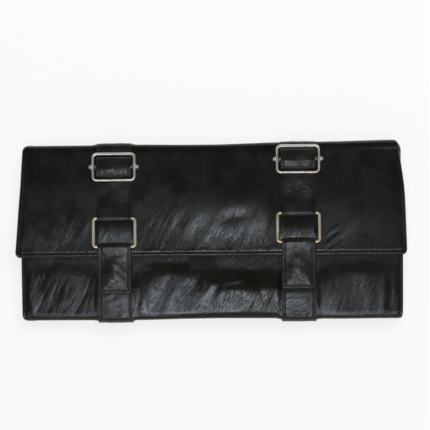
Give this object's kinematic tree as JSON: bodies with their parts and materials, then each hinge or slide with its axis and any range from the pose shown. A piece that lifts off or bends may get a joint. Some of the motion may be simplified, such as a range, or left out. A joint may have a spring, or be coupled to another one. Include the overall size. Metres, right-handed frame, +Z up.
{
  "type": "trifold shears case",
  "caption": "Long soft leather case for hair shears: a back panel, a folded-up front panel and a folded-down flap, shut by straps with wire sliders, rings and snap tabs.",
  "frame": {"origin": "middle of the closed case on the surface that it lies on", "axes": "+X along the case, +Y towards the fold that the flap hangs from, +Z up out of the flap"},
  "size_m": [0.3108, 0.144, 0.0311],
  "materials": {
    "case_leather": "black, glossy, finely grained",
    "strap_leather": "black, glossy, edges folded and stitched",
    "lining_leather": "black, thin and matte",
    "board": "grey stiffening board",
    "padding": "felt padding",
    "nickel": "polished nickel plate",
    "magnet": "matte ferrite",
    "tag_weave": "woven satin ribbon"
  },
  "bodies": {
    "back": {"back_cover": "case_leather", "back_board": "board", "back_lining": "lining_leather", "back_sleeve_1": "lining_leather", "back_sleeve_2": "lining_leather", "back_sleeve_3": "lining_leather", "back_strap_left": "strap_leather", "back_strap_right": "strap_leather"},
    "top_fold": {"top_fold_cover": "case_leather", "top_fold_lining": "lining_leather", "top_strap_left": "strap_leather", "top_strap_right": "strap_leather"},
    "flap": {"flap_cover": "case_leather", "flap_padding": "padding", "flap_lining": "lining_leather", "flap_sleeve": "lining_leather", "woven_tag": "tag_weave"},
    "bottom_fold": {"bottom_fold_cover": "case_leather", "bottom_fold_lining": "lining_leather", "bottom_strap_left": "strap_leather", "bottom_strap_right": "strap_leather"},
    "front": {"front_cover": "case_leather", "front_board": "board", "front_lining": "lining_leather", "front_sleeve": "lining_leather", "closing_strap_left": "strap_leather", "closing_strap_right": "strap_leather", "snap_socket_left": "nickel", "snap_socket_right": "nickel", "snap_magnet_left": "magnet", "snap_magnet_right": "magnet"},
    "strap_left": {"upper_strap_left": "strap_leather", "slider_frame_left": "nickel", "slider_bar_left": "nickel"},
    "ring_left": {"ring_left": "nickel"},
    "tab_left": {"tab_left": "strap_leather", "snap_stud_left": "nickel"},
    "strap_right": {"upper_strap_right": "strap_leather", "slider_frame_right": "nickel", "slider_bar_right": "nickel"},
    "ring_right": {"ring_right": "nickel"},
    "tab_right": {"tab_right": "strap_leather", "snap_stud_right": "nickel"}
  },
  "joints": [
    {"name": "top_fold_open", "type": "hinge", "parent": "back", "child": "top_fold", "pos_m": [0, 0.07054, 0.00146], "axis": [-1, 0, 0], "range_deg": [0, 80]},
    {"name": "flap_open", "type": "hinge", "parent": "top_fold", "child": "flap", "pos_m": [0, 0.07054, 0.02364], "axis": [-1, 0, 0], "range_deg": [0, 80]},
    {"name": "bottom_fold_open", "type": "hinge", "parent": "back", "child": "bottom_fold", "pos_m": [0, -0.07054, 0.00146], "axis": [1, 0, 0], "range_deg": [0, 80]},
    {"name": "front_open", "type": "hinge", "parent": "bottom_fold", "child": "front", "pos_m": [0, -0.07054, 0.01964], "axis": [1, 0, 0], "range_deg": [0, 80]},
    {"name": "strap_left_lift", "type": "hinge", "parent": "flap", "child": "strap_left", "pos_m": [-0.0772, 0.07054, 0.02364], "axis": [-1, 0, 0], "range_deg": [0, 45]},
    {"name": "ring_left_swing", "type": "hinge", "parent": "strap_left", "child": "ring_left", "pos_m": [-0.0772, 0.01178, 0.0263], "axis": [-1, 0, 0], "range_deg": [0, 90]},
    {"name": "tab_left_lift", "type": "hinge", "parent": "ring_left", "child": "tab_left", "pos_m": [-0.0772, -0.01098, 0.0263], "axis": [-1, 0, 0], "range_deg": [0, 80]},
    {"name": "strap_right_lift", "type": "hinge", "parent": "flap", "child": "strap_right", "pos_m": [0.0698, 0.07054, 0.02364], "axis": [-1, 0, 0], "range_deg": [0, 45]},
    {"name": "ring_right_swing", "type": "hinge", "parent": "strap_right", "child": "ring_right", "pos_m": [0.0698, 0.01468, 0.0263], "axis": [-1, 0, 0], "range_deg": [0, 90]},
    {"name": "tab_right_lift", "type": "hinge", "parent": "ring_right", "child": "tab_right", "pos_m": [0.0698, -0.00808, 0.0263], "axis": [-1, 0, 0], "range_deg": [0, 80]}
  ],
  "couplings": [
    {"joint": "flap_open", "follows": "top_fold_open", "ratio": 1},
    {"joint": "bottom_fold_open", "follows": "top_fold_open", "ratio": 1},
    {"joint": "front_open", "follows": "top_fold_open", "ratio": 1}
  ]
}
